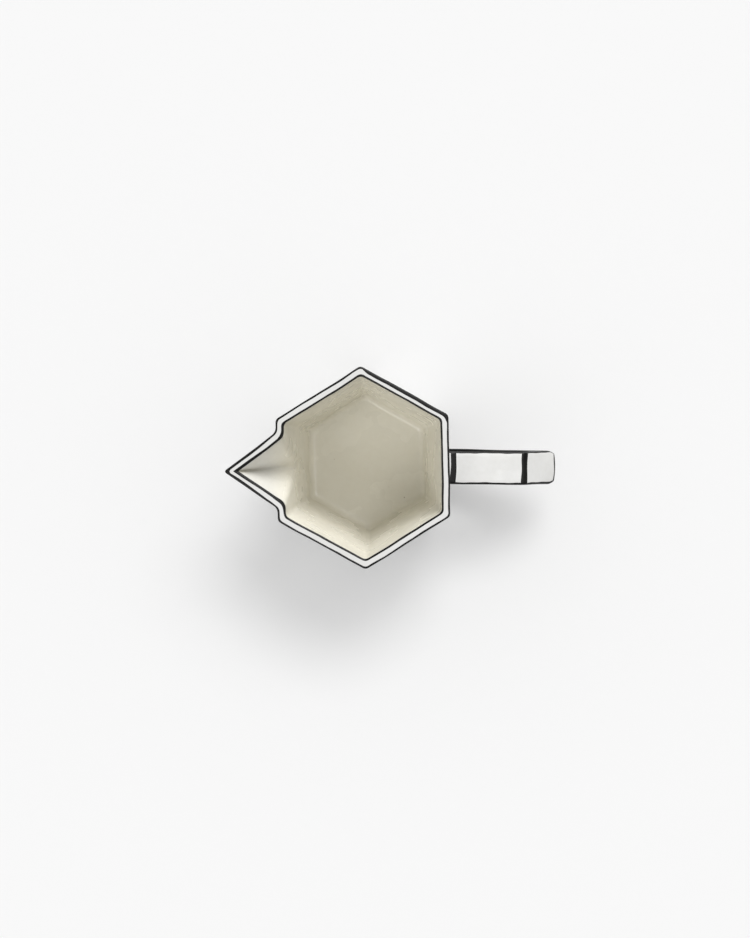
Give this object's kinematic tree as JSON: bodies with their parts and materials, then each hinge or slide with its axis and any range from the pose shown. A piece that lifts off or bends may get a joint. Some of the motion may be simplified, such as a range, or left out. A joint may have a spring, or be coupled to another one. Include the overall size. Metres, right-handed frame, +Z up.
{
  "type": "cream jug",
  "caption": "Tapered hexagonal cream jug with a pointed beak spout and an angular strap handle, in white glazed ceramic with brushed black lines along its edges.",
  "frame": {"origin": "on the table, under the middle of the whole jug from spout tip to handle", "axes": "+X from the body towards the handle, -X towards the spout, +Z up, Y across"},
  "size_m": [0.1432, 0.0868, 0.0803],
  "materials": {
    "white_glaze": "gloss, slightly warm white glaze with fine pinholes",
    "bare_clay": "unglazed, matt",
    "black_line": "satin black brushed underglaze line"
  },
  "bodies": {
    "root": {"body_shell": "white_glaze", "foot_ring": "bare_clay", "spout": "white_glaze", "handle": "white_glaze", "rim_outer_line": "black_line", "rim_inner_line": "black_line", "foot_line": "black_line", "arris_line_1": "black_line", "arris_line_2": "black_line", "arris_line_3": "black_line", "arris_line_4": "black_line", "arris_line_5": "black_line", "arris_line_6": "black_line", "spout_keel_line": "black_line", "spout_root_line_left": "black_line", "spout_root_line_right": "black_line", "handle_outer_line_left": "black_line", "handle_outer_line_right": "black_line", "handle_inner_line_left": "black_line", "handle_inner_line_right": "black_line", "handle_upper_root_band": "black_line", "handle_shoulder_band": "black_line", "handle_elbow_band": "black_line", "handle_lower_root_band": "black_line"}
  },
  "joints": []
}
